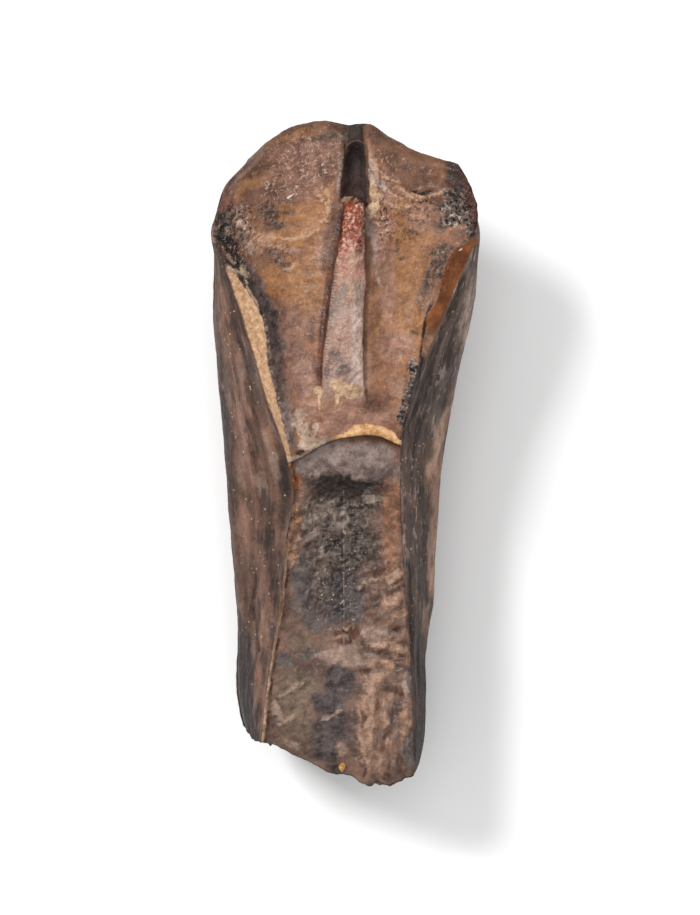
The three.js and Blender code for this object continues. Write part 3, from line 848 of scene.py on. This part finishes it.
# How far a place is above the rim, and inside the front face, the enamel and the ridge.
rim_at, edge_at = stored("above_rim"), stored("inside_edge")
enamel_at, ridge_at = stored("inside_enamel"), stored("inside_ridge")
underside = stored("underside")
broken = stored("broken").over(0.4, 0.6)
unrolled = place.node("ShaderNodeCombineXYZ", {}, stored("around_side"), y_at, underside)

# The patterns that all the colours are mottled with, from the finest to the broadest.
grit = place.noise(0.1, 1, 0.5)
grain = place.noise(0.21, 3, 0.7, seed=1)
pebbles = place.noise(0.17, 1, 0.5, seed=12)
mottle = place.noise(0.5, 5, 0.68, seed=2)
coarse = (pebbles + mottle) * 0.8 - 0.3
cloud = place.noise(1.3, 5, 0.62, seed=3)
ragged = place.noise(0.3, 5, 0.72, seed=4)
jagged = ragged - 0.5
frayed = ragged + grain * 0.8 - 0.9


def mottled(dark, light=None, pattern=mottle, contrast=0.13):
    """One colour, given as 0 to 255, or two of them in the lumps of a pattern."""
    if light is None:
        return srgb(*dark)
    return pattern.over(0.5 - contrast, 0.5 + contrast).mix(srgb(*dark), srgb(*light))


def coated(base, *coats):
    """Lays coats over a colour: how far each covers, and then its colours as for mottled."""
    for cover, *colours in coats:
        base = cover.mix(base, mottled(*colours))
    return base


def film(name, breakup, soft, edges=frayed):
    """A stored patch with its edges broken up."""
    return (stored(name) + edges * breakup).over(0.5 - soft, 0.5 + soft)


def stained(base, stains, pattern=mottle, edges=frayed, **patterns):
    """Lays stains over a colour, mottled with a common pattern or else with one of their own."""
    for name, (dark, light, breakup, soft, cover, _) in stains.items():
        stain = film(name, breakup, soft, edges) * cover
        base = coated(base, (stain, dark, light, patterns.get(name, pattern)))
    return base


# Which part of the surface a place is on.
is_front = underside.over(0.3, 0.2) * (1 - broken)
rim_turn = y_at.over(9.2, 10) * 0.8
on_front = (edge_at + rim_turn + jagged * 0.15).over(-0.05, 0.03) * is_front
on_crown = rim_at.over(-0.1, 0)
on_enamel = (enamel_at + rim_turn + jagged * 0.3).over(-0.03, 0.03)

# The enamel: brown, stained and scratched, with a darker band along its left edge.
enamel = mottled((114, 80, 62), (158, 118, 92), cloud)
enamel = stained(enamel, CROWN_STAINS, crumbs=pebbles, manganese=grain, ash=cloud)
band_width = y_at.over(0.5, 4) * 0.4 + 0.6
dark_band = ((band_width - enamel_at) / band_width + jagged * 1.3).over(0.1, 0.5)
dark_band = dark_band * y_at.between(0.2, 8.6, 0.4) * x_at.over(-1.5, -2.2)
edging = y_at.over(1.5, 5).mix(
    mottled((80, 70, 70), (140, 126, 122)),
    mottled((34, 28, 30), (86, 74, 73)),
)
enamel = (dark_band * 0.9).mix(enamel, edging)
# Painted glints: pale grey specks along the left edge of the enamel's dark band.
edge_glints = (0.2 - enamel_at).over(0, 0.1) * pebbles.over(0.5, 0.6) * y_at.between(0.5, 6.8, 0.5)
# Its worn parts have fine pale threads, part scratches and part painted glints, and the decayed parts
# dark pits with painted shade in them.
scuffed = film("scuffed", 0.8, 0.5)
pitted = film("pitted", 1, 0.5)
thread = abs(place.noise(0.3, 1, 0.5, seed=5) - 0.5).over(0.03, 0.008)
scratches_and_glints = thread * place.noise(0.2, 1, 0.5, seed=6).over(0.48, 0.58) * (scuffed * 0.66 + 0.06)
shaded_pits = pebbles.over(0.42, 0.34) * (pitted * 0.8 + scuffed * 0.3)
# Painted glints: white specks on the black crumbs at the right of the crown.
sparkle = pebbles.over(0.61, 0.66) * mottle.over(0.44, 0.52) * x_at.over(2, 3)
enamel = coated(
    enamel,
    (edge_glints * x_at.over(-1.5, -2.2) * 0.8, (158, 142, 132)),
    (scratches_and_glints, (222, 200, 184)),
    (shaded_pits * 0.8, (52, 34, 28)),
    (sparkle * stored("crumbs") * 0.7, (214, 206, 200)),
    # Pale along the wrinkles: part their colour and part painted highlight on their raised tops.
    (stored("wrinkles") * grain.over(0.36, 0.5) * 0.75, (210, 176, 148)),
)

# The ridge: bare and black at the top, then red, rose, grey and lilac down to its foot.
BANDS_DOWN_RIDGE = (
    (14.1, (68, 56, 52)), (13.9, (27, 16, 13)), (13, (44, 31, 28)), (12.3, (58, 42, 38)),
    (11.55, (60, 44, 40)), (11.4, (112, 57, 40)), (11.1, (152, 76, 46)), (10.4, (156, 82, 58)),
    (9.9, (164, 98, 78)), (9.4, (176, 108, 92)), (8.9, (190, 146, 132)), (7.95, (194, 150, 136)),
    (7.75, (162, 144, 134)), (6.9, (178, 160, 150)), (6.2, (182, 154, 142)),
    (5.2, (174, 142, 128)), (4.2, (166, 144, 134)), (3.2, (164, 138, 126)),
    (2.4, (176, 138, 120)), (0.8, (154, 118, 102)),
)
TIP_Y = 15
arched_y = y_at + (x_at - 0.35) * (x_at - 0.35) * 0.8
crest = y_at.node("ShaderNodeValToRGB", {}, (arched_y + jagged * 0.5) / TIP_Y)
stops = crest.socket.node.color_ramp.elements
stops.remove(stops[1])
for band_y, band_colour in BANDS_DOWN_RIDGE:
    stops.new(band_y / TIP_Y).color = srgb(*band_colour)
ribs = y_at.sum("SINE", y_at * 44 + mottle * 26).over(-0.8, 0.8)
ribbed = ridge_at.between(0.08, 0.34, 0.05) * x_at.over(0.1, -0.1) * y_at.between(3.4, 8.7, 0.3)
# Painted light: a sheen and a lighter tone down the ridge's right flank.
right_flank_sheen = ridge_at.between(0.1, 0.8, 0.1) * x_at.over(0.05, 0.45) * y_at.between(2.6, 6.9, 0.5)
right_flank_light = ridge_at.over(0.5, 0.1) * x_at.over(0.3, 0.5) * y_at.between(2.4, 10.8, 0.4)
# Dark red and brown along the ridge's flanks: part their colour and part painted shade.
maroon_flank_shade = ridge_at.over(0.3, 0.12) * y_at.between(8.8, 11.3, 0.4)
brown_flank_shade = ridge_at.over(0.16, 0.04) * y_at.between(3.5, 9, 0.5)
# Painted highlight: a pale line along the arch over the recess at the top of the ridge.
arch_highlight = abs(y_at + 1.1 * (x_at - 0.5) * (x_at - 0.5) - 14.12 + jagged * 0.1).over(0.07, 0.03)
curls = abs(place.noise(0.4, 1, 0.5, seed=14) - 0.5).over(0.07, 0.02)
glint = (pebbles.over(0.57, 0.65) + curls * 0.7) * mottle.over(0.44, 0.54)
crest = coated(
    crest,
    (mottle.over(0.55, 0.65) * y_at.over(11.6, 11.4) * 0.3, (206, 176, 152)),
    (mottle.over(0.45, 0.35) * y_at.over(11.4, 11.2) * 0.35, (96, 52, 42)),
    (ribbed * mottle.over(0.4, 0.56) * 0.9, (190, 172, 164), (146, 120, 110), ribs, 0.45),
    (right_flank_sheen * 0.8, (190, 168, 160), (228, 212, 206)),
    (right_flank_light * 0.3, (226, 200, 188)),
    (brown_flank_shade * 0.7, (88, 58, 50)),
    (maroon_flank_shade * 0.65, (84, 36, 28)),
    (arch_highlight * 0.6, (128, 110, 102)),
    (glint * y_at.between(8.4, 11.3, 0.3) * 0.7, (232, 200, 182)),
    (pebbles.over(0.44, 0.36) * y_at.between(9, 11.3, 0.4) * 0.7, (84, 34, 26)),
)
ridge_wander = ridge_at + jagged * 0.1
on_ridge = ridge_wander.over(0.03, 0.14) * y_at.over(2, 3)
# Dark red-brown in the crease along the ridge's left foot: part colour and part painted shade.
foot_crease_shade = ridge_wander.between(-0.15, 0.08, 0.07) * y_at.between(3, 11.3, 0.6)
foot_crease_shade = foot_crease_shade * x_at.over(1, 0.2)
# Painted highlight: a paler left wall of the recess at the ridge's top.
left_wall_highlight = ridge_at.between(-0.26, 0, 0.05) * y_at.between(11.7, 13.3, 0.4)
enamel = coated(
    on_ridge.mix(enamel, crest),
    (foot_crease_shade * 0.85, (60, 28, 20), (110, 60, 40)),
    (left_wall_highlight * 0.85, (128, 108, 100), (188, 172, 162), grain),
)
enamel = stained(enamel, RIDGE_STAINS)

# The bare strips down the crown's edges, yellow on the left and amber on the right, with dark red
# above them, and the yellow rim at the crown's foot.
yellow_strip = mottled((174, 138, 103), (212, 180, 145), grain, 0.25)
amber_strip = (y_at + jagged * 0.8).over(5.2, 6).mix(
    mottled((126, 90, 66), (176, 138, 110)),
    mottled((104, 58, 22), (152, 94, 50), cloud),
)
right_half = x_at.over(-0.5, 0.5)
bare = right_half.mix(yellow_strip, amber_strip)
above_strips = (y_at + jagged - right_half * 1.3).over(8.2, 8.6)
bare = above_strips.mix(bare, mottled((40, 22, 22), (88, 40, 30)))
bare = (y_at + jagged * 0.8).over(12.2, 12.9).mix(bare, enamel)
bare = (y_at.over(4.6, 4) * right_half).mix(bare, mottled((40, 34, 34), (90, 78, 72), grain))
rim_width = x_at.between(0.2, 2.3, 0.3) * 0.26 + 0.22
rim_line = (rim_width - rim_at + jagged * 0.4).over(-0.02, 0.03) * x_at.over(-0.7, -0.3)
grey_rim = (rim_at + jagged * 0.15).over(0.22, 0.14) * x_at.over(-0.5, -0.9)
crown = coated(
    on_enamel.mix(bare, enamel),
    (rim_line, (194, 146, 96), (238, 202, 154)),
    (grey_rim, (130, 113, 106), (188, 170, 158)),
    # Painted shadow: dark brown just under the lip of the enamel's rim.
    (rim_at.over(0.03, -0.03), (76, 50, 34)),
)
crown = stained(crown, CRUSTS)

# The root's front face: a smooth lilac band, a black band of painted shade in the hollow, and mottled
# brown below.
root = stained(mottled((86, 68, 60), (136, 110, 96), cloud), ROOT_STAINS, charcoal=coarse)
specks = place.cells(0.19, seed=7).over(0.26, 0.14) * grain.over(0.5, 0.56)
speckled = y_at.between(-7.8, -3.4, 0.9) * abs(x_at + 0.4).over(1.2, 0.6)
hollow_y = y_at + (cloud - 0.5) * 1.6
# Painted shade: a black band where the face dips under the lilac band.
hollow_shade_band = (hollow_y + jagged * 0.5).over(-0.8, -1.2)
hollow_shade_band = hollow_shade_band * (hollow_y + (coarse - 0.5) * 1.6).over(-2, -1.2)
hollow_shade_band = hollow_shade_band * (abs(x_at) + (mottle - 0.5) * 1.5).over(2, 1.4)
lilac_band = (hollow_y + (mottle - 0.5) * 0.4).over(-1.2, -0.85)
brown_end = lilac_band * x_at.over(1.7, 2.4)
# Painted shadow: brown under the enamel's rim, towards the right.
shadow_under_rim = rim_at.over(-0.5, -0.15) * x_at.over(-0.5, 0.3)
root = coated(
    root,
    (specks * speckled * 0.9, (214, 202, 186)),
    (hollow_shade_band * 0.9, (12, 7, 8), (42, 35, 36)),
    (lilac_band, (100, 86, 82), (158, 145, 141), (cloud + mottle) * 0.5, 0.1),
    (brown_end * 0.6, (96, 70, 56), (136, 104, 86)),
    (shadow_under_rim * 0.85, (78, 50, 34), (124, 90, 66), cloud),
)
root = stained(root, EDGE_STAINS, gold=grain, tan=ragged)
hairline = abs(x_at + 0.08 + (mottle - 0.5) * 0.05).over(0.035, 0.012)
hairline = hairline * y_at.between(-9.1, -1.6, 0.3)
bead_place = edge_at + (cloud - 0.5) * 0.25
left_ridge = bead_place.between(0, 0.14, 0.04) * x_at.over(0, -1) * y_at.over(-3.6, -4.6)
# Darker red-brown spots just right of the bead.
dark_right_of_bead = bead_place.between(0.13, 0.27, 0.03) * x_at.over(0, -1) * y_at.over(-4.8, -5.4)
dark_right_of_bead = dark_right_of_bead * place.noise(0.9, 1, 0.5, (20, 1, 20), 8).over(0.5, 0.56)
# Fine scratches run up to the right across the root's lower left.
slanted = x_at.node(
    "ShaderNodeCombineXYZ", {}, x_at * 0.88 + y_at * 0.47, (y_at * 0.88 - x_at * 0.47) * 9, 0,
)
slanting = slanted.noise(1.1, 3, 0.6, seed=13)
low_left = x_at.over(-0.8, -1.5) * y_at.over(-9, -9.8)
root = coated(
    root,
    (hairline * grain.over(0.4, 0.6) * 0.6, (176, 156, 138)),
    # Pale along the wrinkles: part their colour and part painted highlight on their raised tops.
    (stored("wrinkles") * grain.over(0.4, 0.5) * 0.55, (190, 168, 148)),
    (left_ridge * 0.85, (156, 126, 106), (216, 186, 162)),
    (dark_right_of_bead * 0.85, (66, 36, 24), (108, 66, 44), grain),
    (slanting.over(0.54, 0.68) * low_left * cloud * 0.45, (168, 148, 130)),
    (slanting.over(0.46, 0.34) * low_left * 0.3, (64, 52, 45)),
)

# The side facets and the back: dark, with streaks along the tooth.
fibres = unrolled.noise(0.3, 4, 0.6, (1, 7, 1), 9)
strands = unrolled.noise(0.8, 4, 0.6, (1, 6, 1), 10)
side = right_half.mix(
    mottled((56, 42, 35), (114, 88, 74), strands, 0.16),
    mottled((54, 45, 41), (146, 126, 116), strands, 0.14),
)
side = stained(side, SIDE_STAINS, strands, fibres + strands * 0.8 + jagged * 0.4 - 0.9)
# Painted sheen: silvery streaks down the right side, stronger towards the top.
silvery_sheen = unrolled.noise(0.24, 2, 0.6, (1, 4, 1), 15).over(0.58, 0.62) * right_half
silvery_sheen = silvery_sheen * y_at.over(-8, -2)
side_specks = place.cells(0.28, seed=11).over(0.18, 0.1) * cloud.over(0.5, 0.58)
side = coated(
    side,
    (fibres.over(0.52, 0.62) * 0.25, (130, 108, 96), (172, 160, 152), strands),
    (silvery_sheen * (y_at.over(4, 9) * 0.5 + 0.5), (120, 106, 98), (206, 196, 190), strands),
    (fibres.over(0.44, 0.36) * 0.55, (40, 32, 30)),
    (ragged.over(0.42, 0.34) * 0.4, (52, 42, 38)),
    (cloud.over(0.56, 0.66) * 0.45, (96, 76, 66), (146, 120, 106), strands),
    (cloud.over(0.44, 0.34) * 0.5, (30, 25, 24), (66, 55, 51), strands),
    (side_specks * 0.8, (214, 198, 180)),
)

# The broken end is grainy, and browner in patches.
fracture = coated(
    mottled((60, 49, 43), (118, 99, 86)),
    (cloud.over(0.44, 0.6) * 0.7, (86, 63, 49), (148, 119, 98), grain),
    (pebbles.over(0.42, 0.32) * 0.5, (42, 34, 30)),
)

# All of them together, with the cracks darkened, and painted shade in the relief's hollows.
crack_line = (stored("cracks") + (grain - 0.5) * 1.4).over(0.42, 0.62)
colour = coated(
    on_front.mix(broken.mix(side, fracture), on_crown.mix(root, crown)),
    (crack_line * (on_front * 0.4 + 0.5), (30, 20, 18)),
    (stored("hollow") * 0.4, (32, 22, 20)),
)
# Painted shade: darker out towards the silhouettes.
silhouette_shade = (stored("from_silhouette") + jagged * 0.5).over(1, 0)
silhouette_shade = silhouette_shade * (1 - y_at.between(-8, 10, 1) * (right_half * 0.3 + 0.7))
colour = colour * (1 - silhouette_shade * (0.85 - on_front * 0.35) * (0.92, 1, 1.04))
# Finely speckled all over, most where it is worn, and a little warmer as a whole.
BRIGHTNESS = 0.5
WARMTH = (1.045, 0.935, 0.875)
worn = (scuffed + pitted) * on_front * 0.14
speckle = grit.over(0.3, 0.7) * 0.1 + grain.over(0.3, 0.7) * (worn + 0.17)
colour = colour * (BRIGHTNESS - worn * 0.5 + speckle) * WARMTH
colour.feed(surface.inputs["Base Color"])

# Satin, glossier on the ridge, and dull in the recess, on the sides and where it is broken.
recessed = on_ridge * on_front * y_at.over(11.3, 11.6)
glossy = on_ridge * on_crown * on_front - recessed
roughness = 0.26 + grain.over(0.3, 0.7) * 0.16 - glossy * 0.06 + cloud.over(0.4, 0.6) * 0.1
roughness = roughness + recessed * 0.25 + broken * 0.3 + (1 - on_front) * 0.2
roughness.feed(surface.inputs["Roughness"])

# The finest relief: pebbly on the enamel, its crusts and the break, and fibrous on the sides.
crumbled = stored("crumbs") + stored("charcoal")
pebbly = 0.03 + on_crown * (pitted * 0.08 + scuffed * 0.04 + glossy * 0.05)
pebbly = pebbly + crumbled * 0.05 + broken * 0.12
bumps = pebbles * pebbly + grain * 0.03 + fibres * 0.12 * (1 - on_front) - ribbed * ribs * 0.02
BUMP_STRENGTH, BUMP_DISTANCE = 1, MM
bump = bumps.node("ShaderNodeBump", {}, BUMP_STRENGTH, BUMP_DISTANCE, None, bumps)
bump.feed(surface.inputs["Normal"])
mesh.materials.append(stone)
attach(tooth, "root")
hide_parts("tooth")

# ---- Floor, light and camera ----
# A plain pale floor under soft light that comes mostly from the upper left.
bpy.ops.mesh.primitive_plane_add(size=6)
floor = bpy.context.active_object
floor.name = "floor"
paper = bpy.data.materials.new("floor_paper")
paper.use_nodes = True
matt = paper.node_tree.nodes["Principled BSDF"]
matt.inputs["Base Color"].default_value = (0.8, 0.8, 0.8, 1)
matt.inputs["Roughness"].default_value = 0.9
floor.data.materials.append(paper)

sky = bpy.data.worlds.new("sky")
sky.use_nodes = True
glow = sky.node_tree.nodes["Background"]
glow.inputs["Color"].default_value = (1, 1, 1, 1)
glow.inputs["Strength"].default_value = 0.7
bpy.context.scene.world = sky

for name, spot, size, power in (
    ("key", (-0.42, 0.36, 0.58), 0.2, 5.6),
    ("top", (0.05, 0.1, 0.6), 0.5, 1.2),
):
    lamp = bpy.data.lights.new(name, "AREA")
    lamp.size = size
    lamp.energy = power
    lamp_object = bpy.data.objects.new(name, lamp)
    lamp_object.location = spot
    lamp_object.rotation_euler = lamp_object.location.to_track_quat("Z", "Y").to_euler()
    bpy.context.scene.collection.objects.link(lamp_object)

VIEW_MIDDLE = (0.2, -0.135)
VIEW_LENGTH = 41.2  # of what the camera takes in, level with the tooth's front face
FACE_HEIGHT = 7.5
LENS, SENSOR = 180, 36
camera = bpy.data.cameras.new("camera")
camera.lens = LENS
camera.sensor_width = SENSOR
camera.clip_start = 0.01
camera_object = bpy.data.objects.new("camera", camera)
camera_height = FACE_HEIGHT + VIEW_LENGTH * LENS / SENSOR
camera_object.location = [side * MM for side in (*VIEW_MIDDLE, camera_height)]
bpy.context.scene.collection.objects.link(camera_object)
bpy.context.scene.camera = camera_object
bpy.context.scene.view_settings.view_transform = "Standard"
